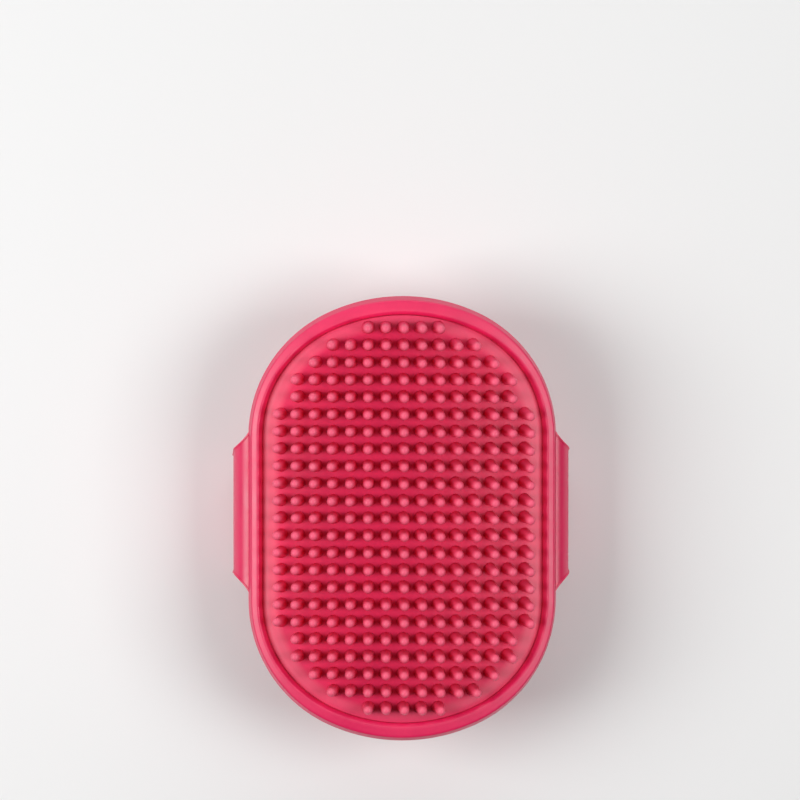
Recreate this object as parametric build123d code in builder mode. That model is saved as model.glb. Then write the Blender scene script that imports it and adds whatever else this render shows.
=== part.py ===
"""A palm bath brush for pets: an oval rubber head with moulded pins and a buttoned two-strap ring handle.

Millimetres. The pins point up (+Z), the oval's long axis is Y, and z = 0 is the table under the ring.
Both straps leave the head at its sides, turn down, and overlap under the palm, where studs button them.
"""
from math import asin, cos, degrees, hypot, sin, sqrt, tan
import os

from build123d import *

os.makedirs("parts", exist_ok=True)

# --- Oval outline: straight sides, a shoulder arc at each corner and a flatter arc across each end ---
half_width = 45.0
half_length = 65.0
shoulder_x = 5.0  # the shoulder arcs' centres, from the middle line
radius_step = 12.0  # how much larger the end arcs are than the shoulder arcs

shoulder_radius = half_width - shoulder_x
end_radius = shoulder_radius + radius_step
end_y = half_length - end_radius
lean = asin(shoulder_x / radius_step)
shoulder_y = end_y + radius_step * cos(lean)

# --- Straps ---
strap_width = 35.2
strap_thickness = 2.2
edge_bead_height = 0.8
edge_bead_width = 1.0
strap_gap = 0.1  # between the two bands where they overlap
hand_room = 27.0  # from the inner band to the palm face
ear_bend = 2.8  # bend radii on the strap's middle line
corner_bend = 7.0
leg_side = 2.9  # from the head's side to the leg's middle line
long_tip_x = -37.0
short_tip_x = -12.0
tip_radius = 8.0

long_band_z = edge_bead_height + strap_thickness / 2
short_band_z = long_band_z + strap_thickness + strap_gap
palm_z = short_band_z + strap_thickness / 2 + hand_room
leg_x = half_width + leg_side

# --- Head ---
plate_thickness = 3.0
head_height = 9.0
rim_width = 4.6
lip_step = 0.4  # the bead stands in from the skirt's lip
bead_draft = 8.0  # degrees
bead_inner = 3.0  # the bead's inner edge, in from the outline
wall_depth = 4.1  # height of the sloping inner wall
bead_outer_round = 1.0
bead_inner_round = 0.7
lip_round = 0.3
crease = 0.15  # open joint between the pad and the frame
panel_margin = 10.0
panel_depth = 0.8
field_drop = 0.4  # the field's crown lies this far under the bead
crown_radius = 220.0

lip_z = palm_z + plate_thickness
bead_z = palm_z + head_height
field_z = bead_z - field_drop
crown_centre_z = field_z - crown_radius

# --- Pins: square in section here, with the area of the round ones ---
pin_pitch = 5.0
pin_margin = 8.4  # least distance of a pin's middle from the outline
pin_length = 10.0
pin_root = 1.0  # how far a pin reaches into the field
pin_foot = 2.84
pin_tip = 2.2

# --- Hinges of the straps: a barrel with stub axles between two lugs ---
barrel_radius = 1.5
lug_radius = 2.0
lug_width = 3.2
axle_radius = 0.9
axle_reach = 2.4  # how far a stub axle enters its lug
running_clearance = 0.07
swing_clearance = 0.3
side_clearance = 0.2

barrel_room = barrel_radius + swing_clearance
lug_room = lug_radius + swing_clearance
lug_inner_y = strap_width / 2 - lug_width
half_bend = sqrt(0.5)  # the hinges sit halfway round each bend

# --- Ears ---
ear_root_width = 48.4
ear_flare = 3.6  # how far out of the head's side the flare ends

ear_z = lip_z - strap_thickness / 2 - ear_bend  # centre of the ear's bend
ear_x = leg_x - ear_bend
ear_axis_x = ear_x + ear_bend * half_bend
ear_axis_z = ear_z + ear_bend * half_bend
corner_x = leg_x - corner_bend
corner_axis_x = corner_x + corner_bend * half_bend

# --- Press studs and their holes ---
stud_spacing = 18.0  # across the strap
stud_pitch = 8.0
stud_rows = 2
hole_rows = 7
stud_inset = 9.0  # first row, in from the long band's tip
shank_radius = 1.7
shank_clearance = 0.05  # in the short band
button_clearance = 0.3  # in the long band
head_radius = 2.6
head_thickness = 1.4
head_floor_gap = 0.2  # between the stud heads and the table
flange_radius = 3.0
flange_thickness = 0.8
seat_clearance = 0.5
seat_floor_gap = 0.2

first_row_x = long_tip_x + stud_inset
studs_x = first_row_x + stud_pitch * (stud_rows - 1) / 2
holes_x = first_row_x + stud_pitch * (hole_rows - 1) / 2
seat_z = head_floor_gap + head_thickness + seat_floor_gap


def oval(inset):
    """The face inside the outline when it is moved in by inset."""
    side = half_width - inset
    turn = degrees(lean)
    with BuildSketch() as outline:
        with BuildLine():
            Line((side, 0), (side, shoulder_y))
            CenterArc((shoulder_x, shoulder_y), shoulder_radius - inset, 0, 90 - turn)
            CenterArc((0, end_y), end_radius - inset, 90 - turn, 2 * turn)
            CenterArc((-shoulder_x, shoulder_y), shoulder_radius - inset, 90 + turn, 90 - turn)
            Line((-side, shoulder_y), (-side, 0))
            mirror(about=Plane.XZ)
        make_face()
    return outline.sketch


def room_inside(x, y):
    """The distance of a point from the outline, measured to the side or arc that it faces."""
    x, y = abs(x), abs(y)
    if y < shoulder_y:
        return half_width - x
    if x < (y - end_y) * tan(lean):
        return end_radius - hypot(x, y - end_y)
    return shoulder_radius - hypot(x - shoulder_x, y - shoulder_y)


def pins_in_column(x):
    """How many pins stand in the column at x, counted both ways from the middle row."""
    above = 0
    while room_inside(x, (above + 1) * pin_pitch) >= pin_margin:
        above += 1
    return 2 * above + 1


def lugs(x, z):
    """Two lugs with blind bores round the hinge axis at x, z, and a cup for the barrel between them."""
    middle_y = (lug_inner_y + strap_width / 2) / 2
    bore_depth = axle_reach + side_clearance
    for side in (1, -1):
        with Locations(Location((x, side * middle_y, z), (90, 0, 0))):
            Cylinder(lug_radius, lug_width)
    with Locations(Location((x, 0, z), (90, 0, 0))):
        Cylinder(barrel_room, 2 * lug_inner_y, mode=Mode.SUBTRACT)
        Cylinder(axle_radius + running_clearance, 2 * (lug_inner_y + bore_depth), mode=Mode.SUBTRACT)


def barrel(x, z):
    """Clear the lugs round the axis at x, z, then add the barrel and its two stub axles."""
    half_barrel = lug_inner_y - side_clearance
    notch_width = strap_width / 2 - half_barrel
    for side in (1, -1):
        with Locations(Location((x, side * (half_barrel + notch_width / 2), z), (90, 0, 0))):
            Cylinder(lug_room, notch_width, mode=Mode.SUBTRACT)
    with Locations(Location((x, 0, z), (90, 0, 0))):
        Cylinder(barrel_radius, 2 * half_barrel)
        Cylinder(axle_radius, 2 * (lug_inner_y + axle_reach))


def edge_beads(x, z, length_x, length_z):
    """The raised bead along both edges of a flat length of strap."""
    bead_y = (strap_width - edge_bead_width) / 2
    with Locations((x, bead_y, z), (x, -bead_y, z)):
        Box(length_x, edge_bead_width, length_z)


def strap_leg(band_z):
    """A right-hand leg: half the ear's bend, the straight side and half the bend at the corner."""
    corner_z = band_z + corner_bend
    with BuildPart() as leg:
        with BuildSketch(Plane.XZ):
            with BuildLine():
                CenterArc((ear_x, ear_z), ear_bend, 0, 45)
                Line((leg_x, ear_z), (leg_x, corner_z))
                CenterArc((corner_x, corner_z), corner_bend, -45, 45)
            trace(line_width=strap_thickness)
        extrude(amount=strap_width / 2, both=True)
        bead_x = leg_x + (strap_thickness + edge_bead_height) / 2
        edge_beads(bead_x, (ear_z + corner_z) / 2, edge_bead_height, ear_z - corner_z)
        barrel(ear_axis_x, ear_axis_z)
        lugs(corner_axis_x, corner_z - corner_bend * half_bend)
    return leg.part


def strap_band(band_z, tip_x):
    """A right-hand band: the other half of the corner's bend and the flat length to a rounded tip."""
    corner_z = band_z + corner_bend
    with BuildPart() as band:
        with BuildSketch(Plane.XZ):
            with BuildLine():
                CenterArc((corner_x, corner_z), corner_bend, -90, 45)
                Line((corner_x, band_z), (tip_x, band_z))
            trace(line_width=strap_thickness)
        extrude(amount=strap_width / 2, both=True)
        fillet(band.edges().filter_by(Axis.Z).group_by(Axis.X)[0], tip_radius)
        barrel(corner_axis_x, corner_z - corner_bend * half_bend)
    return band.part


# --- Bristle pad: a crowned sheet with one frustum for each pin, square to the crown ---
with BuildPart() as bristle_pad:
    with BuildSketch(Plane.XY.offset(lip_z)):
        add(oval(rim_width + crease))
    extrude(amount=head_height)
    with Locations(Location((0, 0, crown_centre_z), (90, 0, 0))):
        Cylinder(crown_radius, 2 * half_length, mode=Mode.INTERSECT)
    column_reach = int((half_width - pin_margin) / pin_pitch)
    for column in range(-column_reach, column_reach + 1):
        turn = column * pin_pitch / crown_radius
        outward = Vector(sin(turn), 0, cos(turn))
        foot = Vector(0, 0, crown_centre_z) + outward * (crown_radius - pin_root)
        with BuildSketch(Plane(foot, x_dir=(cos(turn), 0, -sin(turn)), z_dir=outward)):
            with GridLocations(pin_pitch, pin_pitch, 1, pins_in_column(column * pin_pitch)):
                Rectangle(pin_foot, pin_foot)
    pin_height = pin_root + pin_length
    pin_draft = degrees(asin((pin_foot - pin_tip) / 2 / pin_height))
    extrude(amount=pin_height, taper=pin_draft)
bristle_pad.part.label = "bristle_pad"
export_step(bristle_pad.part, "parts/bristle_pad.step")

# --- Ear: the root of a strap, flared into the head's side, with the lugs of the strap's first hinge ---
with BuildPart() as ear:
    with BuildSketch(Plane.XZ):
        with BuildLine():
            Line((half_width - rim_width / 2, ear_z + ear_bend), (ear_x, ear_z + ear_bend))
            CenterArc((ear_x, ear_z), ear_bend, 45, 45)
        trace(line_width=strap_thickness)
    extrude(amount=ear_root_width / 2, both=True)
    with BuildSketch(Plane.XY.offset(palm_z)):
        with BuildLine():
            inner = half_width - rim_width
            outer = leg_x + strap_thickness
            Polyline(
                (inner, -ear_root_width / 2),
                (half_width, -ear_root_width / 2),
                (half_width + ear_flare, -strap_width / 2),
                (outer, -strap_width / 2),
                (outer, strap_width / 2),
                (half_width + ear_flare, strap_width / 2),
                (half_width, ear_root_width / 2),
                (inner, ear_root_width / 2),
                close=True,
            )
        make_face()
    extrude(amount=plate_thickness, mode=Mode.INTERSECT)
    lugs(ear_axis_x, ear_axis_z)

# --- Rim frame: skirt lip, drafted bead with a sloping inner wall, and an ear on each side ---
with BuildPart() as rim_frame:
    with BuildSketch(Plane.XY.offset(palm_z)):
        add(oval(0))
    extrude(amount=plate_thickness)
    fillet(rim_frame.edges().filter_by_position(Axis.Z, palm_z, lip_z), lip_round)
    with BuildSketch(Plane.XY.offset(lip_z)):
        add(oval(lip_step))
    extrude(amount=head_height - plate_thickness, taper=bead_draft)
    fillet(rim_frame.edges().group_by(Axis.Z)[-1], bead_outer_round)
    with BuildSketch(Plane.XY.offset(palm_z)):
        add(oval(rim_width))
    extrude(amount=head_height, mode=Mode.SUBTRACT)
    with BuildSketch(Plane.XY.offset(bead_z - wall_depth)):
        add(oval(rim_width))
    wall_draft = degrees(asin((rim_width - bead_inner) / hypot(rim_width - bead_inner, wall_depth)))
    extrude(amount=wall_depth, taper=-wall_draft, mode=Mode.SUBTRACT)
    top_face = rim_frame.faces().sort_by(Axis.Z)[-1]
    fillet(top_face.inner_wires().edges(), bead_inner_round)
    add(ear.part)
    add(mirror(ear.part, about=Plane.YZ))
rim_frame.part.label = "rim_frame"
export_step(rim_frame.part, "parts/rim_frame.step")

# --- Back plate: the palm face, with a shallow bare panel ---
with BuildPart() as back_plate:
    with BuildSketch(Plane.XY.offset(palm_z)):
        add(oval(rim_width + crease))
    extrude(amount=plate_thickness)
    with BuildSketch(Plane.XY.offset(palm_z)):
        add(oval(panel_margin))
    extrude(amount=panel_depth, mode=Mode.SUBTRACT)
back_plate.part.label = "back_plate"
export_step(back_plate.part, "parts/back_plate.step")

# --- Long strap, on the right: its leg, and the outer band with its rows of holes ---
with BuildPart() as long_strap_leg:
    add(strap_leg(long_band_z))
long_strap_leg.part.label = "long_strap_leg"
export_step(long_strap_leg.part, "parts/long_strap_leg.step")

with BuildPart() as long_strap_band:
    add(strap_band(long_band_z, long_tip_x))
    bead_start = long_tip_x + tip_radius
    edge_beads((bead_start + corner_x) / 2, edge_bead_height / 2, corner_x - bead_start, edge_bead_height)
    with Locations(Plane((holes_x, 0, edge_bead_height), z_dir=(0, 0, -1))):
        with GridLocations(stud_pitch, stud_spacing, hole_rows, 2):
            CounterBoreHole(
                shank_radius + button_clearance,
                head_radius + seat_clearance,
                seat_z - edge_bead_height,
                strap_thickness,
            )
long_strap_band.part.label = "long_strap_band"
export_step(long_strap_band.part, "parts/long_strap_band.step")

# --- Short strap, on the left: a mirrored leg, and the inner band with the holes that its studs sit in ---
with BuildPart() as short_strap_leg:
    add(mirror(strap_leg(short_band_z), about=Plane.YZ))
short_strap_leg.part.label = "short_strap_leg"
export_step(short_strap_leg.part, "parts/short_strap_leg.step")

with BuildPart() as short_strap_band:
    add(mirror(strap_band(short_band_z, -short_tip_x), about=Plane.YZ))
    with Locations((studs_x, 0, short_band_z + strap_thickness / 2)):
        with GridLocations(stud_pitch, stud_spacing, stud_rows, 2):
            Hole(shank_radius + shank_clearance, strap_thickness)
short_strap_band.part.label = "short_strap_band"
export_step(short_strap_band.part, "parts/short_strap_band.step")

# --- Press studs: a head in the long band's seat, a shank through both bands and a flange inside ---
with BuildPart() as stud:
    with BuildSketch(Plane.XZ):
        with BuildLine():
            head_z = head_floor_gap + head_thickness
            flange_z = short_band_z + strap_thickness / 2
            Polyline(
                (0, head_floor_gap),
                (head_radius - head_thickness / 2, head_floor_gap),
                (head_radius, head_z - head_thickness / 3),
                (head_radius, head_z),
                (shank_radius, head_z),
                (shank_radius, flange_z),
                (flange_radius, flange_z),
                (flange_radius, flange_z + flange_thickness),
                (0, flange_z + flange_thickness),
                close=True,
            )
        make_face()
    revolve(axis=Axis.Z)

with BuildPart() as press_studs:
    with Locations((studs_x, 0, 0)):
        with GridLocations(stud_pitch, stud_spacing, stud_rows, 2):
            add(stud.part)
press_studs.part.label = "press_studs"
export_step(press_studs.part, "parts/press_studs.step")
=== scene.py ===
# %% [markdown]
# # A bath brush for pets, in rose-red rubber
#
# This notebook dresses a palm brush: an oval head of soft rubber with 297 moulded pins, and two straps
# that turn down at its sides and button together into a ring for the hand. Another program has already
# worked out the brush at its real size, and how its straps swing. Everything here is built around that
# frame, in metres, so a piece goes where the frame says and is never fitted by eye. The brush lies with
# its strap ring on the table and its pins towards +Z, and the long axis of the oval is Y.

# %% Load the frame
from math import asin, ceil, copysign, cos, exp, hypot, inf, pi, radians, sin, sqrt, tan
import random

import bmesh
import bpy
from mathutils import Matrix, Vector


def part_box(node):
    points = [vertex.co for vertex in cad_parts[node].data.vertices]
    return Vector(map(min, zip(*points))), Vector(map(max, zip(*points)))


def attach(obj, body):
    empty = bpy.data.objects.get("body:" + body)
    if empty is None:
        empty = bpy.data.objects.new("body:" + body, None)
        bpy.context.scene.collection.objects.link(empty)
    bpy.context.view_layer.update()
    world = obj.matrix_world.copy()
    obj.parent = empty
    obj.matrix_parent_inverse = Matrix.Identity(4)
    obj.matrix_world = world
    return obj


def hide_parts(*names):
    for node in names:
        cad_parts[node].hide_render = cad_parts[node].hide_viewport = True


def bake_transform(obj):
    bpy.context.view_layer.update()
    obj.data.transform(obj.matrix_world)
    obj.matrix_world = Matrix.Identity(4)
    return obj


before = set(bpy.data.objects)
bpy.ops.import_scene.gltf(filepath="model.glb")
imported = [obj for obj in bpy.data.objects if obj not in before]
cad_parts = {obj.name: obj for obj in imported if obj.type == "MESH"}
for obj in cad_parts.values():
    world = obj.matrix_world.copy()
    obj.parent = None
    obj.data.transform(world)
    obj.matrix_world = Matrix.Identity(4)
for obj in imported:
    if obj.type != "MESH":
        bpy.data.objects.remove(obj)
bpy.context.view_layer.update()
MM = 0.001

# %% [markdown]
# ## The sizes that everything follows
#
# A box round each frame piece gives the sizes that the looks share with it: how long and wide the oval
# is, and how high the palm face, the skirt's lip and the rim's bead lie. Only what a box can't tell, such
# as the radii of the oval's arcs, is written here as a number. One value for each size, worked out once,
# keeps all the shapes in step when the brush changes.

# %% Sizes of the head, from the frame
_, rim_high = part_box("rim_frame")
_, pad_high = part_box("bristle_pad")
plate_low, plate_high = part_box("back_plate")

half_length = rim_high.y
rim_width = rim_high.y - pad_high.y
half_width = pad_high.x + rim_width
palm_z = plate_low.z
lip_z = plate_high.z
bead_z = rim_high.z
print("oval:", round(2 * half_width / MM, 1), "by", round(2 * half_length / MM, 1), "mm")

# %% Sizes of the oval's arcs
shoulder_x = 5 * MM
radius_step = 12 * MM

shoulder_radius = half_width - shoulder_x
end_radius = shoulder_radius + radius_step
end_y = half_length - end_radius
lean = asin(shoulder_x / radius_step)
shoulder_y = end_y + radius_step * cos(lean)
print("shoulder and end radius:", round(shoulder_radius / MM, 1), round(end_radius / MM, 1), "mm")


# %% How far inside the outline a point lies
def room_inside(x, y):
    """The distance of a point from the outline, measured to the side or arc that it faces."""
    x, y = abs(x), abs(y)
    if y < shoulder_y:
        return half_width - x
    if x < (y - end_y) * tan(lean):
        return end_radius - hypot(x, y - end_y)
    return shoulder_radius - hypot(x - shoulder_x, y - shoulder_y)


def smooth_step(value, low, high):
    """0 below low, 1 above high, and a soft S between them."""
    share = min(max((value - low) / (high - low), 0), 1)
    return share * share * (3 - 2 * share)


end_zone = (0.45 * half_length, 0.97 * half_length)  # where a side passes into an end


def at_end(y):
    """0 along the straight sides, rising to 1 at the two ends of the oval."""
    return smooth_step(abs(y), *end_zone)


print("from the centre to the outline:", round(room_inside(0, 0) / MM, 1), "mm")

# %% Crown of the field
crown_radius = 220 * MM
field_drop = 0.4 * MM
field_z = bead_z - field_drop


def field_fall(x):
    """How far the field lies below its top at some way from the middle: the drop of a circle."""
    return crown_radius - sqrt(crown_radius**2 - x**2)


edge_depth = field_fall(pad_high.x)
print("the field's edge lies", round(edge_depth / MM, 2), "mm below its top")


# %% [markdown]
# ## From a mesh in the making to a piece of the brush
#
# Each piece is modelled in a bmesh, which is Blender's mesh with its editing tools attached. When it is
# done, three things make it fit for use: doubled vertices are merged, its faces are turned outwards, and
# it is shaded smooth. Large flat faces next to small rounded edges would look dented under smooth
# shading, because a corner's normal is an average. A Weighted Normal modifier lets the large face win.


# %% Finish a piece
weld = 0.0005 * MM  # vertices nearer to each other than this are merged
close = 0.01 * MM  # and points nearer to a plane than this are on it


def make_piece(name, bm, material, body=None, replaced=None):
    """Turn a bmesh into a smooth object, with its material and the body that it rides on."""
    bmesh.ops.remove_doubles(bm, verts=bm.verts, dist=weld)
    bmesh.ops.recalc_face_normals(bm, faces=bm.faces)
    mesh = bpy.data.meshes.new(name)
    bm.to_mesh(mesh)
    bm.free()
    mesh.shade_smooth()
    mesh.materials.append(material)
    piece = bpy.data.objects.new(name, mesh)
    bpy.context.scene.collection.objects.link(piece)
    piece.modifiers.new("even_shading", "WEIGHTED_NORMAL")
    if body:
        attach(piece, body)
    if replaced:
        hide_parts(replaced)
    print(name, "has", len(mesh.polygons), "faces")
    return piece


# %% [markdown]
# ## The rubber
#
# The whole brush is one satin rubber, moulded in a blasted steel mould. Seen close, such a skin has a
# fine grain from the mould, a slow drift of colour where the pigment isn't quite even, and edges that
# handling has rubbed a little paler. The pad also carries painted light: a painted pale sheen on its
# margin, painted highlights on its pins and painted shade on the field among them. So a piece may store
# two values at its vertices: a tone and shading, which makes the rubber lighter or darker, partly at
# random and partly as painted light and shade, and a painted sheen, which makes it paler. These effects
# are shared by every piece, so they live in one node group with named inputs, and each material places
# that group with its own values. The group puts out a colour, a roughness and a normal. The Principled
# shader stays in the material.


# %% Small helpers for nodes
def add_node(tree, kind, inputs=None, **settings):
    """Add a node, set its properties by name, and set or link its inputs."""
    node = tree.nodes.new(kind)
    for name, value in settings.items():
        setattr(node, name, value)
    for name, value in (inputs or {}).items():
        if isinstance(value, bpy.types.NodeSocket):
            tree.links.new(value, node.inputs[name])
        else:
            node.inputs[name].default_value = value
    return node


def noise(tree, place, scale, detail, roughness):
    """The socket of a noise pattern, which goes from 0 to 1."""
    values = {"Vector": place, "Scale": scale, "Detail": detail, "Roughness": roughness}
    return add_node(tree, "ShaderNodeTexNoise", values).outputs["Fac"]


def stretch(tree, value, old_range, new_range):
    """Carry a value from one range over to another, and return the new value's socket."""
    limits = dict(zip(("From Min", "From Max", "To Min", "To Max"), (*old_range, *new_range)))
    return add_node(tree, "ShaderNodeMapRange", {"Value": value, **limits}).outputs["Result"]


def calculate(tree, operation, *values):
    """Do one step of arithmetic, and return the result's socket."""
    return add_node(tree, "ShaderNodeMath", dict(enumerate(values)), operation=operation).outputs["Value"]


def blend_colours(tree, share, first, second):
    """Mix two colours by a share from 0 to 1, and return the mixed colour's socket."""
    return add_node(tree, "ShaderNodeMix", {0: share, 6: first, 7: second}, data_type="RGBA").outputs[2]


# %% The shared node group for moulded rubber
rubber_skin = bpy.data.node_groups.new("rubber_skin", "ShaderNodeTree")
for socket_name, socket_kind, default in (
    ("Colour", "NodeSocketColor", (0.8, 0.05, 0.12, 1)),
    ("Roughness", "NodeSocketFloat", 0.45),
    ("Grain size", "NodeSocketFloat", 3000.0),
    ("Grain depth", "NodeSocketFloat", 0.1),
    ("Drift", "NodeSocketFloat", 0.3),
    ("Worn edges", "NodeSocketFloat", 0.2),
    ("Tone and shading", "NodeSocketFloat", 0.0),
    ("Painted sheen", "NodeSocketFloat", 0.0),
):
    made = rubber_skin.interface.new_socket(socket_name, in_out="INPUT", socket_type=socket_kind)
    made.default_value = default
for socket_name, socket_kind in (
    ("Colour", "NodeSocketColor"),
    ("Roughness", "NodeSocketFloat"),
    ("Normal", "NodeSocketVector"),
):
    rubber_skin.interface.new_socket(socket_name, in_out="OUTPUT", socket_type=socket_kind)

given = add_node(rubber_skin, "NodeGroupInput").outputs
place = add_node(rubber_skin, "ShaderNodeTexCoord").outputs["Object"]

drift_noise = noise(rubber_skin, place, 55, 3, 0.6)
speck_noise = noise(rubber_skin, place, 900, 2, 0.5)
grain_noise = noise(rubber_skin, place, given["Grain size"], 3, 0.55)
print("rubber_skin takes", [socket.name for socket in given if socket.name])

# %% Colour in the group: drift, specks, worn edges, and painted shade and sheen
tone_strength = 0.3
# A pale pink, mixed in both for worn edges and for the pad's painted sheen and painted highlights.
paleness = 0.35
pale_pink = (1, 0.55, 0.6, 1)

drift_share = stretch(rubber_skin, drift_noise, (0.3, 0.7), (-0.5, 0.5))
speck_share = stretch(rubber_skin, speck_noise, (0.35, 0.7), (-0.2, 0.2))
uneven = calculate(rubber_skin, "ADD", drift_share, speck_share)
# The tone input brings each pin's own tone together with painted shade among the pins and painted light on
# their shafts and tips.
tone_with_shading = calculate(rubber_skin, "MULTIPLY_ADD", uneven, given["Drift"], given["Tone and shading"])
brightness = calculate(rubber_skin, "MULTIPLY_ADD", tone_with_shading, tone_strength, 1)
toned_rubber = add_node(
    rubber_skin, "ShaderNodeHueSaturation", {"Color": given["Colour"], "Value": brightness}
).outputs["Color"]

# Pointiness pales the worn edges; the second input added to it is painted sheen and painted highlights on
# the pad.
pointiness = add_node(rubber_skin, "ShaderNodeNewGeometry").outputs["Pointiness"]
edge_mask = stretch(rubber_skin, pointiness, (0.51, 0.6), (0, given["Worn edges"]))
wear_and_sheen = calculate(rubber_skin, "ADD", edge_mask, given["Painted sheen"])
paler_rubber = blend_colours(rubber_skin, paleness, toned_rubber, pale_pink)
skin_colour = blend_colours(rubber_skin, wear_and_sheen, toned_rubber, paler_rubber)

# %% Gloss and grain in the group
gloss_drift = 0.1
grain_height = 0.02 * MM

gloss = calculate(rubber_skin, "MULTIPLY_ADD", uneven, gloss_drift, given["Roughness"])
bump = add_node(
    rubber_skin,
    "ShaderNodeBump",
    {"Strength": given["Grain depth"], "Distance": grain_height, "Height": grain_noise},
)
add_node(
    rubber_skin,
    "NodeGroupOutput",
    {"Colour": skin_colour, "Roughness": gloss, "Normal": bump.outputs["Normal"]},
)
print("rubber_skin has", len(rubber_skin.nodes), "nodes")


# %% [markdown]
# ### One material for each moulding
#
# All mouldings have the same rose red, and they differ a little in their skin. The pad has the least
# sheen, so its gaps stay deep red. The frame and the straps show a brighter line along their beads, the
# studs are the smoothest, and the palm side has the coarsest grain, for grip.


# %% Make the rubbers
rose = (0.77, 0.003, 0.094)


def rubber(
    name,
    sheen=0.85,
    roughness=0.44,
    grain_size=2600,
    grain_depth=0.15,
    drift=0.35,
    rubbed_edges=0.25,
    attributes=(),
):
    """A Principled material whose colour, roughness and normal come from the shared group."""
    material = bpy.data.materials.new(name)
    material.use_nodes = True
    tree = material.node_tree
    shader = tree.nodes["Principled BSDF"]
    shader.inputs["Specular IOR Level"].default_value = sheen
    values = {
        "Colour": (*rose, 1),
        "Roughness": roughness,
        "Grain size": grain_size,
        "Grain depth": grain_depth,
        "Drift": drift,
        "Worn edges": rubbed_edges,
    }
    skin = add_node(tree, "ShaderNodeGroup", values, node_tree=rubber_skin)
    for socket, attribute in attributes:
        stored = add_node(tree, "ShaderNodeAttribute", attribute_name=attribute)
        tree.links.new(stored.outputs["Fac"], skin.inputs[socket])
    for output, entry in (("Colour", "Base Color"), ("Roughness", "Roughness"), ("Normal", "Normal")):
        tree.links.new(skin.outputs[output], shader.inputs[entry])
    return material


pad_attributes = (("Tone and shading", "tone_and_shading"), ("Painted sheen", "painted_sheen"))
pad_rubber = rubber("pad_rubber", sheen=0.44, roughness=0.46, attributes=pad_attributes)
frame_rubber = rubber("frame_rubber")
palm_rubber = rubber(
    "palm_rubber", roughness=0.5, grain_size=1200, grain_depth=0.5, drift=0.4, rubbed_edges=0.3
)
strap_rubber = rubber("strap_rubber", grain_size=2000)
stud_rubber = rubber("stud_rubber", roughness=0.42, rubbed_edges=0.3)
print("materials:", [material.name for material in bpy.data.materials])


# %% [markdown]
# ## Carrying a section round the oval
#
# The rim, the pad's edge and the palm plate all follow the same oval. Its quarter is a straight side, a
# shoulder arc and half of the flatter arc across the end. A section drawn once at the middle of the side
# is carried round that quarter by three spins: the first has no angle and only shifts, which makes the
# straight side, and the other two turn round the arcs' centres. Two mirrors then close the ring. The
# corners of a section are rounded before the trip, by a vertex bevel while the section is still a face.
# The pad and the plate also have a middle. Their sections are open on the inner side, at a border, and
# the two ovals that this leaves, one above the other, are filled.


# %% Draw a section
def soften(bm, geom, affect, size, segments):
    """Bevel vertices or edges to a round of that size."""
    bmesh.ops.bevel(
        bm,
        geom=geom,
        affect=affect,
        offset=size,
        segments=segments,
        profile=0.5,
        material=-1,
        clamp_overlap=affect == "EDGES",
    )


def rounded_section(bm, corners):
    """Draw a closed section at the middle of the +X side. A corner is inset, height and rounding in mm."""
    ring = [
        bm.verts.new((half_width - inset * MM, 0, palm_z + height * MM)) for inset, height, _ in corners
    ]
    bm.faces.new(ring)
    for corner, (_, _, rounding) in zip(ring, corners):
        if rounding:
            soften(bm, [corner], "VERTICES", rounding * MM, segments=5)
    bmesh.ops.delete(bm, geom=bm.faces[:], context="FACES_ONLY")


# %% Carry a section
side_steps = 12
shoulder_steps = 26
end_steps = 12


def carry_round(bm):
    """Carry everything in the bmesh round a quarter of the oval, and mirror it to the other three."""
    front = bm.verts[:] + bm.edges[:]
    for centre, shift, angle, steps in (
        ((0, 0, 0), shoulder_y / side_steps, 0, side_steps),
        ((shoulder_x, shoulder_y, 0), 0, pi / 2 - lean, shoulder_steps),
        ((0, end_y, 0), 0, lean, end_steps),
    ):
        front = bmesh.ops.spin(
            bm,
            geom=front,
            cent=centre,
            axis=(0, 0, 1),
            dvec=(0, shift, 0),
            angle=angle,
            steps=steps,
            use_merge=False,
        )["geom_last"]
    for axis in ("X", "Y"):
        bmesh.ops.mirror(
            bm,
            geom=bm.verts[:] + bm.edges[:] + bm.faces[:],
            matrix=Matrix.Identity(4),
            merge_dist=weld,
            axis=axis,
        )


def oval_sheet(bm, section, border):
    """Open a section at its inner side, the border, carry it round and fill the two ovals left there."""
    rounded_section(bm, section)
    border_x = half_width - border * MM
    inner = [edge for edge in bm.edges if all(abs(vert.co.x - border_x) < close for vert in edge.verts)]
    bmesh.ops.delete(bm, geom=inner, context="EDGES")
    carry_round(bm)
    bmesh.ops.holes_fill(bm, edges=bm.edges[:], sides=0)


print("steps in a quarter of the oval:", side_steps + shoulder_steps + end_steps)

# %% [markdown]
# ## The rim
#
# The rim is a rounded bead on a skirt. Seen in section, a steep flank rises from the skirt's lip, a gentle
# slant with rounded corners leads on to the crest, and a quarter of an ellipse falls from there to the
# dark joint round the pad. The section isn't the same all the way. The crown of the field takes the bead
# down with it at the sides. At the two ends of the oval the crest stands further in and the lip higher
# up, which makes the outer side broad and soft. So one section is carried round first, and its points are
# then moved, each by how far it is from the outline and how near to an end.

# %% The section of the bead, in mm
bead_height = (bead_z - palm_z) / MM
lip_inset = 0.1
flank_top = (0.75, bead_height - 0.75)
crest_inset = 2.5
joint_inset = 4.15
crease = 1.0  # how far the joint lies below the field beside it
joint_depth = (field_drop + edge_depth) / MM + crease

inner_arch = [
    (
        crest_inset + (joint_inset - crest_inset) * sin(radians(angle)),
        bead_height - joint_depth * (1 - cos(radians(angle))),
        0,
    )
    for angle in range(15, 91, 15)
]
bead_section = [
    (0.6, 0, 0.3),
    (0, 2.7, 0.2),
    (lip_inset, 3.05, 0.1),
    (*flank_top, 0.5),
    (crest_inset, bead_height, 0.35),
    *inner_arch,
    (joint_inset, 0, 0.3),
]
print("the bead's section has", len(bead_section), "corners")

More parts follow.
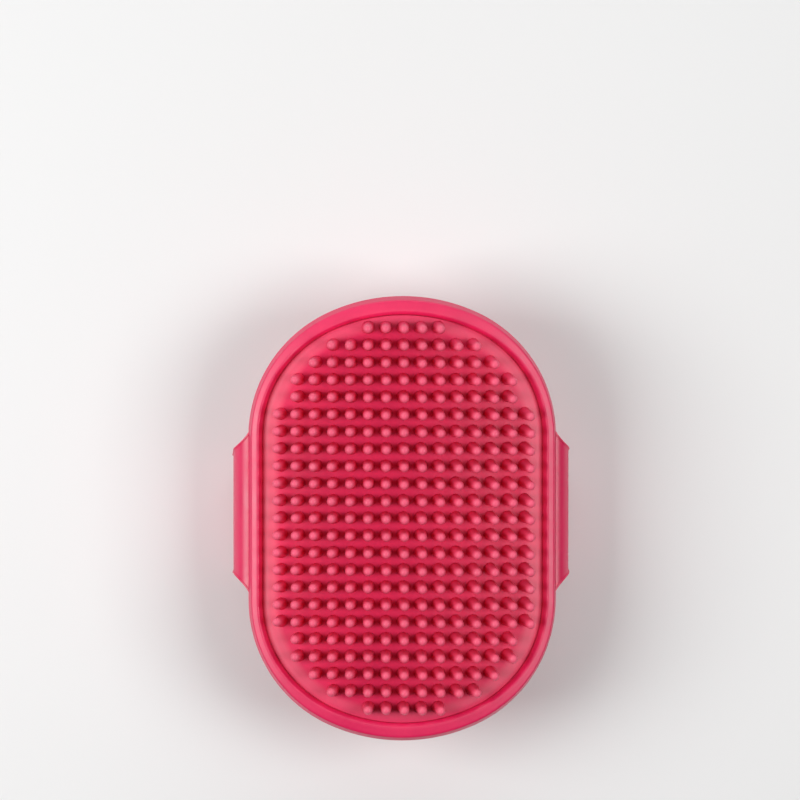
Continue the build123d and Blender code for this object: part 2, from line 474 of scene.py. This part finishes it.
# %% Move the bead's points
side_drop = 1.5 * MM  # how much lower the crest lies at the sides
lip_rise = 2.6 * MM  # how much higher the lip lies at the ends
crest_shift = 1.5 * MM  # how much further in the crest stands there
joint_shift = 1.3 * MM  # and the joint
bead_foot = lip_z - 0.5 * MM  # the skirt below this height stays as it is


def shape_bead(point):
    """Move a point of the carried section to where it belongs on the side or at the end."""
    inset = room_inside(point.x, point.y) / MM
    share = at_end(point.y)
    crest_z = bead_z - side_drop * (1 - share)
    if inset > crest_inset:
        joint_z = field_z - field_fall(point.x) - crease * MM
        point.z = crest_z - (bead_z - point.z) * (crest_z - joint_z) / (joint_depth * MM)
        inner_share = (inset - crest_inset) / (joint_inset - crest_inset)
        shift = crest_shift + (joint_shift - crest_shift) * inner_share
    else:
        height_share = max((point.z - lip_z) / (bead_z - lip_z), 0)
        point.z += lip_rise * share * (1 - height_share) - side_drop * (1 - share) * height_share
        shift = crest_shift * max((inset - lip_inset) / (crest_inset - lip_inset), 0)
    point.y -= copysign(shift * share, point.y)


print("the crest moves in by", round(crest_shift / MM, 1), "mm at the ends")

# %% Model the rim
bm = bmesh.new()
rounded_section(bm, bead_section)
carry_round(bm)
for vert in bm.verts:
    if vert.co.z > bead_foot:
        shape_bead(vert.co)
make_piece("oval_rim", bm, frame_rubber, "head", "rim_frame")

# %% [markdown]
# ## The field under the pins
#
# The pad is a sheet with a rounded edge. Across the brush its top is crowned, like the roof of a very
# flat barrel, so the pins fan out a little to the left and right. The edge is carried round the oval and
# the middle is filled, and the top is then cut into a grid. Only with vertices in the middle can the face
# follow the crown, which is one formula: the drop of a circle from its top. The pad's edge then follows
# the rim's inner wall: out at the sides, in at the ends. The bare margin outside the pins is painted
# with a pale sheen, most at the sides, where the soft boxes stand, and the field among the pins is given
# painted shade, a deeper red. The section has a point where the painted sheen starts to fade and one
# where it has ended.

# %% Edge and faces of the field
pad_edge = rim_width / MM
field_height = (field_z - palm_z) / MM
pad_gap = 0.05  # between the pad and the plate under it
under_pad = (lip_z - palm_z) / MM + pad_gap
margin_width = 3.2  # the pale margin
margin_fade = 1.8  # the strip inside it, over which it fades
field_border = pad_edge + margin_width + margin_fade
roll_width = 2.0  # the strip along the edge that rolls off
roll_drop = 0.4
roll_steps = 5
roll_radius = (roll_width**2 + roll_drop**2) / (2 * roll_drop)
roll_angle = asin(roll_width / roll_radius)
edge_roll = [
    (
        pad_edge + roll_width - roll_radius * sin(roll_angle * step / roll_steps),
        field_height - roll_radius * (1 - cos(roll_angle * step / roll_steps)),
        0.2 if step == roll_steps else 0,
    )
    for step in range(roll_steps + 1)
]
field_section = [
    (field_border, field_height, 0),
    (pad_edge + margin_width, field_height, 0),
    *edge_roll,
    (pad_edge, under_pad, 0),
    (field_border, under_pad, 0),
]

bm = bmesh.new()
oval_sheet(bm, field_section, field_border)
print("the pad's edge rolls off with a radius of", round(roll_radius, 1), "mm")


# %% Cut the top into a grid
def cut_across(bm, normal, places, faces_of):
    """Cut the faces that faces_of picks by one plane for each place along normal."""
    for distance in places:
        faces = faces_of(bm)
        geom = set(faces)
        for face in faces:
            geom.update(face.edges)
            geom.update(face.verts)
        place = normal * distance
        bmesh.ops.bisect_plane(bm, geom=list(geom), dist=weld, plane_co=place, plane_no=normal)


def all_faces(bm):
    """Every face of the bmesh."""
    return bm.faces[:]


def top_faces(bm):
    """The level faces at the height of the field."""
    return [face for face in bm.faces if face.calc_center_median().z > field_z - close]


grid = 2.5 * MM
for normal, reach in ((Vector((1, 0, 0)), pad_high.x), (Vector((0, 1, 0)), pad_high.y)):
    steps = int(reach / grid)
    cut_across(bm, normal, [grid * step for step in range(-steps, steps + 1)], top_faces)
print("field has", len(bm.faces), "faces")

# %% Crown the field, fit its edge to the rim and store its painted shade and sheen
side_gain = 0.65 * MM  # the pad is a little wider at the sides than its frame piece
end_loss = 0.75 * MM  # and shorter at the ends, where the joint stands further in
edge_zone = 5  # in mm, the strip along the edge that gives way for it
# painted pale sheen on the bare margin
margin_sheen = 0.42
# painted shade on the field among the pins, where they shadow it
field_shade = -0.15
pad_middle_z = lip_z + MM  # only the pad's underside lies below this height

# Two values at each vertex: the tone with its painted shade and light, and the painted sheen.
tone_and_shading = bm.verts.layers.float.new("tone_and_shading")
painted_sheen = bm.verts.layers.float.new("painted_sheen")
for vert in bm.verts:
    if vert.co.z > pad_middle_z:
        vert.co.z -= field_fall(vert.co.x)
    inset = room_inside(vert.co.x, vert.co.y) / MM
    near_edge = 1 - smooth_step(inset, pad_edge, pad_edge + edge_zone)
    # The painted sheen is halved at the ends, which the soft boxes at the sides light less.
    margin = min(max((field_border - inset) / margin_fade, 0), 1) * (1 - at_end(vert.co.y) / 2)
    vert[painted_sheen] = margin_sheen * margin
    vert[tone_and_shading] = field_shade * (1 - margin)
    vert.co.y -= copysign(end_loss * at_end(vert.co.y) * near_edge, vert.co.y)
    vert.co.x *= 1 + side_gain / pad_high.x
highest = max(vert.co.z for vert in bm.verts)
print("the field's top lies", round((bead_z - highest) / MM, 2), "mm below the rim's crest")

# %% [markdown]
# ## The pins
#
# A pin is a round peg with a soft foot, a slight taper and a domed tip with a small dimple, where the
# mould's vent was. It is turned on a lathe once: a spin of its profile. There are 297 of them, so one
# peg has only 12 sides. They stand in straight rows, about 5 mm apart, wherever the grid keeps clear of
# the rim. They start out square to the crown. Then the middle ones droop a little towards the lower end,
# those on the right more, and the leftmost lean the other way. Like all soft pins, no two lean in quite
# the same way. A fixed seed gives the same brush on every run. Each pin has a tone of its own, and painted
# light on top of it: the shaft is painted lighter and the tip paler, as a painted highlight.

# %% Where the pins stand
column_pitch = 5.1 * MM
row_pitch = 5.04 * MM
pin_margin = 7.9 * MM  # the least room between a pin's middle and the outline

columns = int(half_width / column_pitch)
rows = int(half_length / row_pitch)
pin_places = [
    (column * column_pitch, row * row_pitch)
    for row in range(-rows, rows + 1)
    for column in range(-columns, columns + 1)
    if room_inside(column * column_pitch, row * row_pitch) >= pin_margin
]
print("pins:", len(pin_places))

# %% Turn one pin on the lathe
pin_sides = 12
pin_length = 10 * MM
pin_profile = [(2, -0.35), (1.72, 0.5), (1.38, 8.4), (1.2, 9.2), (0.8, 9.75), (0.25, 9.95), (0, 9.88)]


def turn_on_lathe(bm, profile, sides):
    """Spin a profile of radius and height, in mm, round Z, and close its foot if it is open."""
    line = [bm.verts.new((radius * MM, 0, height * MM)) for radius, height in profile]
    edges = [bm.edges.new(pair) for pair in zip(line, line[1:])]
    bmesh.ops.spin(
        bm,
        geom=line + edges,
        cent=(0, 0, 0),
        axis=(0, 0, 1),
        dvec=(0, 0, 0),
        angle=2 * pi,
        steps=sides,
        use_merge=True,
    )
    bmesh.ops.remove_doubles(bm, verts=bm.verts, dist=weld)
    bmesh.ops.holes_fill(bm, edges=bm.edges[:], sides=0)


turning = bmesh.new()
turn_on_lathe(turning, pin_profile, pin_sides)
one_pin = bpy.data.meshes.new("one_pin")
turning.to_mesh(one_pin)
turning.free()
print("one pin has", len(one_pin.polygons), "faces")

# %% Plant the pins on the field
pin_droop = radians(1.2)  # towards the lower end, in the middle column
droop_gain = radians(0.42)  # from each column to the next
foot_shift = 0.5 * MM  # how far up the feet stand, to make up for it
wobble = radians(0.5)
seed = 11
chance = random.Random(seed)

tip_start = 0.6 * pin_length  # where the tip starts to differ from the shaft
# Painted light on the pins: the shaft lighter, the tip lighter and paler as a painted highlight. Only the
# spread from pin to pin is their own tone.
shaft_light = 0.25
tone_spread = 0.12  # from pin to pin
tip_highlight_tone = 0.1  # what the tip adds
shaft_sheen = 0.06
tip_highlight = 0.34  # what the tip adds

for x, y in pin_places:
    fan = x / crown_radius
    foot = Vector((crown_radius * sin(fan), y + foot_shift, field_z - crown_radius * (1 - cos(fan))))
    droop = pin_droop + droop_gain * x / column_pitch
    turned = (
        Matrix.Rotation(fan + chance.uniform(-wobble, wobble), 4, "Y")
        @ Matrix.Rotation(droop + chance.uniform(-wobble, wobble), 4, "X")
        @ Matrix.Rotation(chance.uniform(0, 2 * pi), 4, "Z")
    )
    pin_tone = chance.uniform(-tone_spread, tone_spread)
    bm.from_mesh(one_pin)
    bm.verts.ensure_lookup_table()
    fresh = bm.verts[-len(one_pin.vertices) :]
    for vert in fresh:
        tip_share = smooth_step(vert.co.z, tip_start, pin_length)
        vert[tone_and_shading] = pin_tone + shaft_light + tip_highlight_tone * tip_share
        vert[painted_sheen] = shaft_sheen + tip_highlight * tip_share
    bmesh.ops.transform(bm, matrix=Matrix.Translation(foot) @ turned, verts=fresh)
make_piece("pin_pad", bm, pad_rubber, "head", "bristle_pad")
bpy.data.meshes.remove(one_pin)

# %% [markdown]
# ## The palm plate
#
# Under the pad a plate closes the head towards the palm. It is a flat oval with a softened outer edge and
# a shallow bare panel. It is made like the pad: its section runs from the outer edge to just inside the
# panel's step, and the middle is filled.

# %% Model the palm plate
panel_margin = 10.0
panel_depth = 0.8
plate_thickness = (plate_high.z - plate_low.z) / MM
panel_border = panel_margin + 2.0
flange_width = 0.6  # how much further out the plate's upper part reaches

plate_section = [
    (panel_border, panel_depth, 0),
    (panel_margin + 0.3, panel_depth, 0.3),
    (panel_margin, 0, 0.4),
    (pad_edge, 0, 0.4),
    (pad_edge, 1.0, 0),
    (pad_edge - flange_width, 1.2, 0),
    (pad_edge - flange_width, plate_thickness, 0),
    (panel_border, plate_thickness, 0),
]

bm = bmesh.new()
oval_sheet(bm, plate_section, panel_border)
make_piece("palm_plate", bm, palm_rubber, "head", "back_plate")

# %% [markdown]
# ## The straps
#
# A strap leaves the head's side as a flared ear, turns down, turns again at the corner of the ring and
# runs across under the palm to a rounded tip. The ears stand a little above the middle of the oval's
# sides, and the legs lead down from there to the middle. On its outer face a thin bead follows both
# edges. Real straps are moulded flat, and that is also the easy way to model one: a flat outline is cut
# where it has to bend, thickened, beaded along its edges, punched with holes, and only then folded along
# its route. The route is a list of runs: each has a length, and a bend also has a radius on the strap's
# middle line. The bend at the ear starts tight and then eases.

# %% Sizes of the straps, from the frame
_, long_leg_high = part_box("long_strap_leg")
long_band_low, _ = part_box("long_strap_band")
short_band_low, short_band_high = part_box("short_strap_band")

strap_half = long_leg_high.y
strap_thickness = 2.2 * MM
bead_width = 0.45 * MM
leg_bead = 0.3 * MM  # height of the edge bead on the legs
foot_bead = 0.8 * MM  # and under the long band, which the brush stands on
ear_bend = 3.9 * MM
ear_turn = radians(50)  # the first part of the bend at the ear
ear_ease = 4.9 * MM  # radius of the rest of it
corner_bend = 7 * MM
tip_radius = 8 * MM
root_flare = 0.74  # how much wider the strap is at its root
flare_length = 2.8 * MM  # over which the flare falls to about a third
root_shift = 1.9 * MM  # how far the roots stand above the middle of the oval's side
root_inset = 2.6 * MM  # how far inside the outline they start

leg_x = long_leg_high.x - foot_bead - strap_thickness / 2
ear_x = leg_x - ear_bend * sin(ear_turn) - ear_ease * (1 - sin(ear_turn))
root_z = lip_z - strap_thickness / 2
leg_top = root_z - ear_bend * (1 - cos(ear_turn)) - ear_ease * cos(ear_turn)
corner_x = leg_x - corner_bend
root_x = half_width - root_inset
long_band_z = foot_bead + strap_thickness / 2
short_band_z = short_band_low.z + strap_thickness / 2
print("band heights:", round(long_band_z / MM, 2), round(short_band_z / MM, 2), "mm")


# %% The route of a strap
def strap_route(band_z, tip_x):
    """The runs of a right-hand strap, from its root inside the rim to its tip."""
    return [
        (ear_x - root_x, None),
        (ear_bend * ear_turn, ear_bend),
        (ear_ease * (pi / 2 - ear_turn), ear_ease),
        (leg_top - band_z - corner_bend, None),
        (corner_bend * pi / 2, corner_bend),
        (corner_x - tip_x, None),
    ]


def outward_after(turned):
    """The outward direction of the strap after it has turned by an angle."""
    return Vector((sin(turned), 0, cos(turned)))


def on_route(route, distance):
    """The point of the middle line at a distance from the root, and the outward direction there."""
    point = Vector((root_x, 0, root_z))
    turned = 0
    for run, radius in route:
        step = min(distance, run)
        if radius:
            point += radius * (outward_after(turned + step / radius) - outward_after(turned))
            turned += step / radius
        else:
            point += step * Vector((cos(turned), 0, -sin(turned)))
        distance -= step
    return point, outward_after(turned)


def fold_along(bm, route):
    """Move a flat strap, X along it and Z outwards, onto its route."""
    for vert in bm.verts:
        point, outward = on_route(route, vert.co.x)
        vert.co = Vector((0, vert.co.y, 0)) + point + outward * vert.co.z


long_route = strap_route(long_band_z, long_band_low.x)
short_route = strap_route(short_band_z, -short_band_high.x)
for route_name, route in (("long", long_route), ("short", short_route)):
    print(route_name, "strap is", round(sum(run for run, _ in route) / MM, 1), "mm long, laid flat")

# %% [markdown]
# ### The flat strap
#
# The outline starts as four corners. Its tip is rounded by a vertex bevel, cuts are made wherever it will
# bend, and near the root the cut ends are pushed outwards for the flare of the ear. Extruding gives it
# thickness. An inset of the upper face marks the bead, which is extruded in turn, and two bevels take the
# sharpness off all edges that point outwards.


# %% Outline, cuts and flare
straight_step = 1.5 * MM  # between two cuts in a straight run
bend_step = radians(12)  # between two cuts in a bend
bend_limit = 4 * MM  # a wider bend is cut as often as one of this radius
band_step = 2 * MM  # between the cuts past the corner
band_steps = 5


def flat_outline(bm, route):
    """The strap's flat outline with a rounded tip, a flared root and cuts where it bends."""
    length = sum(run for run, _ in route)
    ear_end = sum(run for run, _ in route[:3])
    corners = [
        bm.verts.new(corner)
        for corner in (
            (0, -strap_half, 0),
            (length, -strap_half, 0),
            (length, strap_half, 0),
            (0, strap_half, 0),
        )
    ]
    bm.faces.new(corners)
    soften(bm, corners[1:3], "VERTICES", tip_radius, segments=10)
    start = 0
    places = []
    for run, radius in route[:-1]:
        spacing = min(radius, bend_limit) * bend_step if radius else straight_step
        steps = ceil(run / spacing)
        places += [start + run * step / steps for step in range(1, steps + 1)]
        start += run
    places += [start + step * band_step for step in range(1, band_steps + 1)]
    cut_across(bm, Vector((1, 0, 0)), places, all_faces)
    for vert in bm.verts:
        vert.co.y *= 1 + root_flare * exp(-vert.co.x / flare_length)
        vert.co.y += root_shift * (1 - smooth_step(vert.co.x, ear_end, ear_end + route[3][0]))


# %% Thickness, beads and rounded edges
outer_round = 0.12 * MM
inner_round = 0.45 * MM
sharp_angle = radians(40)


def moved_faces(bm, faces, shift, keep_old):
    """Extrude faces, move the new ones, and return their vertices. Only a sheet keeps its old faces."""
    made = bmesh.ops.extrude_face_region(bm, geom=faces)["geom"]
    verts = [item for item in made if isinstance(item, bmesh.types.BMVert)]
    bmesh.ops.translate(bm, verts=verts, vec=shift)
    if not keep_old:
        bmesh.ops.delete(bm, geom=faces, context="FACES")
    return verts


def sharp_edges(bm, side):
    """The sharp outward edges near the outer face, if side is 1, or near the inner face, if it is -1."""
    return [
        edge
        for edge in bm.edges
        if edge.is_convex
        and edge.calc_face_angle() > sharp_angle
        and side * (edge.verts[0].co.z + edge.verts[1].co.z) / 2 >= strap_thickness / 4
    ]


def flat_strap(route, bead_end):
    """A strap as it leaves the mould. Its edge beads run from the root to bead_end."""
    bm = bmesh.new()
    flat_outline(bm, route)
    bmesh.ops.translate(bm, verts=bm.verts[:], vec=(0, 0, -strap_thickness / 2))
    moved_faces(bm, bm.faces[:], (0, 0, strap_thickness), keep_old=True)
    bmesh.ops.recalc_face_normals(bm, faces=bm.faces[:])
    upper = [face for face in bm.faces if face.calc_center_median().z > strap_thickness / 2 - close]
    ring = bmesh.ops.inset_region(
        bm, faces=upper, thickness=bead_width, use_boundary=True, use_even_offset=True
    )["faces"]
    ring = [face for face in ring if face.calc_center_median().x < bead_end]
    corner_start = sum(run for run, _ in route[:4])
    corner_end = corner_start + route[4][0]
    for vert in moved_faces(bm, ring, (0, 0, leg_bead), keep_old=False):
        growth = smooth_step(vert.co.x, corner_start, corner_end)
        vert.co.z += (foot_bead - leg_bead) * growth * (1 if bead_end > corner_end else 0)
    soften(bm, sharp_edges(bm, 1), "EDGES", outer_round, segments=2)
    soften(bm, sharp_edges(bm, -1), "EDGES", inner_round, segments=3)
    return bm


# %% [markdown]
# ### Punching the holes
#
# The long band has seven rows of holes, so the ring can be set to the hand. Each is a round hole in a
# sunken seat, which hides the stud's head. A stepped cutter, flared where it passes the strap's faces so
# that it leaves a soft edge, is turned on the lathe at every place of one cutter object. A Boolean
# modifier takes them all away at once, while the strap is still flat. The short band has plain holes.

# %% Where the studs and holes are
stud_spacing = 18 * MM
stud_pitch = 8 * MM
tip_room = 9 * MM  # from the long strap's tip to its first row of holes
first_row_x = long_band_low.x + tip_room
hole_rows = 7
stud_rows = 2
hole_sides = 24
stud_sides = 32
face_z = strap_thickness / 2 / MM
seat_height = 1.8 * MM  # of the seat's floor above the table
seat_floor = (long_band_z - seat_height) / MM

seat_cutter = [
    (0, face_z + 0.3),
    (3.5, face_z + 0.3),
    (3.35, face_z),
    (3.1, face_z - 0.25),
    (3.1, seat_floor),
    (2.2, seat_floor),
    (2.0, seat_floor - 0.2),
    (2.0, 0.2 - face_z),
    (2.25, -face_z),
    (2.4, -face_z - 0.2),
    (0, -face_z - 0.2),
]
plain_cutter = [(0, face_z + 0.2), (1.75, face_z + 0.2), (1.75, -face_z - 0.2), (0, -face_z - 0.2)]
print("holes in the long band:", 2 * hole_rows, "and studs:", 2 * stud_rows)


# %% Punch a flat strap
def turn_in_pairs(bm, profile, sides, rows_x):
    """Turn a profile on the lathe at both sides of each row."""
    for x in rows_x:
        for side in (-1, 1):
            known = set(bm.verts)
            turn_on_lathe(bm, profile, sides)
            fresh = [vert for vert in bm.verts if vert not in known]
            bmesh.ops.translate(bm, verts=fresh, vec=(x, side * stud_spacing / 2, 0))


def punch(bm, route, cutter, rows_x):
    """Take the cutter out of a flat strap at both sides of each row, and return the new bmesh."""
    band_start = sum(run for run, _ in route[:-1])
    cutters = bmesh.new()
    turn_in_pairs(cutters, cutter, hole_sides, [band_start + corner_x - x for x in rows_x])
    bmesh.ops.recalc_face_normals(cutters, faces=cutters.faces[:])
    bmesh.ops.recalc_face_normals(bm, faces=bm.faces[:])
    objects = []
    for name, source in (("flat_strap", bm), ("hole_cutters", cutters)):
        mesh = bpy.data.meshes.new(name)
        source.to_mesh(mesh)
        source.free()
        objects.append(bpy.data.objects.new(name, mesh))
        bpy.context.scene.collection.objects.link(objects[-1])
    strap, tool = objects
    boolean = strap.modifiers.new("holes", "BOOLEAN")
    boolean.operation = "DIFFERENCE"
    boolean.solver = "EXACT"
    boolean.object = tool
    punched = bmesh.new()
    punched.from_mesh(strap.evaluated_get(bpy.context.evaluated_depsgraph_get()).data)
    for item in objects:
        bpy.data.objects.remove(item)
    print("punched", 2 * len(rows_x), "holes; the strap has", len(punched.faces), "faces")
    return punched


# %% [markdown]
# ### Two pieces for each strap
#
# When the ring is opened, a strap bends at the ear and at the corner. Each strap is cut in two at the
# middle of its leg: a root piece, from the head to the leg, and a ring piece, from the leg to the band.
# The cut is made in the flat strap, so both ends have the very same outline. Past the cut each piece goes
# on inside the other as a short tongue, a hair thinner than the strap. There it is closed, so the joint
# has no sharp edge that would show.

# %% Cut a strap in two
tongue_length = 0.8 * MM
tongue_play = 0.02 * MM  # how far a tongue lies under the other piece's skin


def half_of_strap(bm, cut_x, forward):
    """A copy of the flat strap on one side of the cut, with its tongue. Forward is 1 for the root."""
    part = bm.copy()
    places = [cut_x, cut_x + forward * tongue_length / 2]
    cut_across(part, Vector((1, 0, 0)), places, all_faces)
    bmesh.ops.bisect_plane(
        part,
        geom=part.verts[:] + part.edges[:] + part.faces[:],
        dist=weld,
        plane_co=(cut_x + forward * tongue_length, 0, 0),
        plane_no=(forward, 0, 0),
        clear_outer=True,
    )
    part.normal_update()
    for vert in part.verts:
        if forward * (vert.co.x - cut_x) > close:
            vert.co -= tongue_play * vert.normal
    bmesh.ops.holes_fill(part, edges=part.edges[:], sides=0)
    return part


def hang_strap(name, flat, route, side, nodes):
    """Fold both halves of a strap to one side of the head."""
    leg_start = sum(run for run, _ in route[:3])
    cut_x = leg_start + route[3][0] / 2
    for index, (part_name, forward) in enumerate((("root", 1), ("ring", -1))):
        part = half_of_strap(flat, cut_x, forward)
        fold_along(part, route)
        bmesh.ops.scale(part, vec=(side, 1, 1), verts=part.verts[:])
        piece = make_piece(f"{name}_{part_name}", part, strap_rubber)
        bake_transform(piece)
        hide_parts(nodes[index])
    flat.free()


# %% The long strap
hole_x = [first_row_x + row * stud_pitch for row in range(hole_rows)]
long_flat = flat_strap(long_route, bead_end=inf)
long_flat = punch(long_flat, long_route, seat_cutter, hole_x)
hang_strap(
    "long_strap",
    long_flat,
    long_route,
    side=1,
    nodes=("long_strap_leg", "long_strap_band"),
)

# %% The short strap
stud_x = [first_row_x + row * stud_pitch for row in range(stud_rows)]
short_flat = flat_strap(short_route, bead_end=sum(run for run, _ in short_route[:5]))
short_flat = punch(short_flat, short_route, plain_cutter, [-x for x in stud_x])
hang_strap(
    "short_strap",
    short_flat,
    short_route,
    side=-1,
    nodes=("short_strap_leg", "short_strap_band"),
)

# %% [markdown]
# ## The press studs
#
# Two pairs of mushroom studs hold the long band on the short one. A stud's head sits in the long band's
# seat, its shank passes through both bands, and a flange keeps it in the short band, on the hand's side.
# All four come from one lathe profile, and the profile's corners are short slants instead of sharp turns.

# %% Model the studs
head_z = 0.2
head_top = 1.6
flange_z = (short_band_z + strap_thickness / 2) / MM
stud_profile = [
    (0, head_z),
    (1.7, head_z),
    (2.2, head_z + 0.12),
    (2.55, head_z + 0.55),
    (2.6, head_top - 0.25),
    (2.5, head_top),
    (1.8, head_top + 0.02),
    (1.7, head_top + 0.15),
    (1.7, flange_z + 0.02),
    (2.8, flange_z + 0.02),
    (3.0, flange_z + 0.2),
    (2.95, flange_z + 0.45),
    (2.5, flange_z + 0.7),
    (1.6, flange_z + 0.8),
    (0, flange_z + 0.8),
]

bm = bmesh.new()
turn_in_pairs(bm, stud_profile, stud_sides, stud_x)
make_piece("mushroom_studs", bm, stud_rubber, "short_band", "press_studs")

# %% [markdown]
# ## The table and the light
#
# The brush lies on a plain pale table. In the photograph the gaps between the pins of a row are dark, and
# the lanes between the rows are light, so the light comes along the rows. It is a soft box at each side,
# the left one stronger, each narrow enough along the oval that the pins throw their shadows on to the
# inner slope of the rim. A wide low one past the upper end lights the pins' flanks. The world adds only a
# little, so that the gaps stay deep, and a Light Path node shows it pale to the camera alone.

# %% Table
table_size = 4  # in metres
table_drop = 0.02 * MM  # so that the table doesn't touch the straps' beads
table_roughness = 0.8
table_colours = ((0.83, 0.83, 0.825, 1), (0.86, 0.86, 0.86, 1))

bm = bmesh.new()
bmesh.ops.create_grid(bm, x_segments=1, y_segments=1, size=table_size)
table_mesh = bpy.data.meshes.new("table_top")
bm.to_mesh(table_mesh)
bm.free()
table = bpy.data.objects.new("table_top", table_mesh)
bpy.context.scene.collection.objects.link(table)
table.location.z = -table_drop
table_paint = bpy.data.materials.new("table_paint")
table_paint.use_nodes = True
paint_tree = table_paint.node_tree
paint = paint_tree.nodes["Principled BSDF"]
paint.inputs["Roughness"].default_value = table_roughness
paint_place = add_node(paint_tree, "ShaderNodeTexCoord").outputs["Object"]
paint_noise = noise(paint_tree, paint_place, 4, 2, 0.5)
paint_colour = blend_colours(paint_tree, paint_noise, *table_colours)
paint_tree.links.new(paint_colour, paint.inputs["Base Color"])
table_mesh.materials.append(table_paint)
print("the table measures", [round(side, 1) for side in table.dimensions[:2]], "m")

# %% World
world = bpy.data.worlds.new("studio")
bpy.context.scene.world = world
world.use_nodes = True
fill_strength = 0.05
backdrop_strength = 0.8
backdrop_colour = (0.96, 0.96, 0.965, 1)
background = world.node_tree.nodes["Background"]
background.inputs["Color"].default_value = backdrop_colour
seen = add_node(world.node_tree, "ShaderNodeLightPath").outputs["Is Camera Ray"]
strength = stretch(world.node_tree, seen, (0, 1), (fill_strength, backdrop_strength))
world.node_tree.links.new(strength, background.inputs["Strength"])
print("the world lights with", fill_strength, "and shows", backdrop_strength)


# %% Soft boxes
head_middle = Vector((0, 0, bead_z))


def soft_box(name, place, width, height, watts):
    """A rectangular lamp at a place, turned towards the middle of the head."""
    lamp = bpy.data.lights.new(name, "AREA")
    lamp.shape = "RECTANGLE"
    lamp.size = width
    lamp.size_y = height
    lamp.energy = watts
    lamp_object = bpy.data.objects.new(name, lamp)
    bpy.context.scene.collection.objects.link(lamp_object)
    lamp_object.location = place
    lamp_object.rotation_mode = "QUATERNION"
    lamp_object.rotation_quaternion = (head_middle - Vector(place)).to_track_quat("-Z", "Y")
    print(name, "gives", watts, "W")


soft_box("left_box", place=(-0.58, 0, 0.67), width=0.42, height=0.6, watts=5.5)
soft_box("right_box", place=(0.46, 0, 0.77), width=0.4, height=0.5, watts=3.7)
soft_box("end_box", place=(0, 0.75, 0.45), width=1.1, height=0.35, watts=2.5)

# %% [markdown]
# ## The camera
#
# The photograph looks down onto the pins through a long lens from some distance, so all pins show about
# the same flank. The tips lie a little lower in the frame than the feet, and a little to the right, so
# the camera leans towards the upper end and the left side.

# %% Place the camera
camera_distance = 1.8
frame_width = 232.8 * MM  # what the frame spans at the height of the bead
aim = Vector((-0.95 * MM, 34.8 * MM, bead_z))  # the point in the middle of the frame
camera_lean_left = radians(2.4)
camera_lean_up = radians(2.5)
to_camera = Vector((-sin(camera_lean_left), sin(camera_lean_up), 1)).normalized()

camera = bpy.data.cameras.new("camera")
camera.sensor_width = 36
camera.lens = camera.sensor_width * camera_distance / frame_width
camera_object = bpy.data.objects.new("camera", camera)
bpy.context.scene.collection.objects.link(camera_object)
camera_right = Vector((0, 1, 0)).cross(to_camera).normalized()
camera_up = to_camera.cross(camera_right)
camera_turn = Matrix((camera_right, camera_up, to_camera)).transposed()
camera_object.location = aim + to_camera * camera_distance
camera_object.rotation_euler = camera_turn.to_euler()
bpy.context.scene.camera = camera_object
bpy.context.scene.view_settings.view_transform = "Standard"
print("lens:", round(camera.lens, 1), "mm")
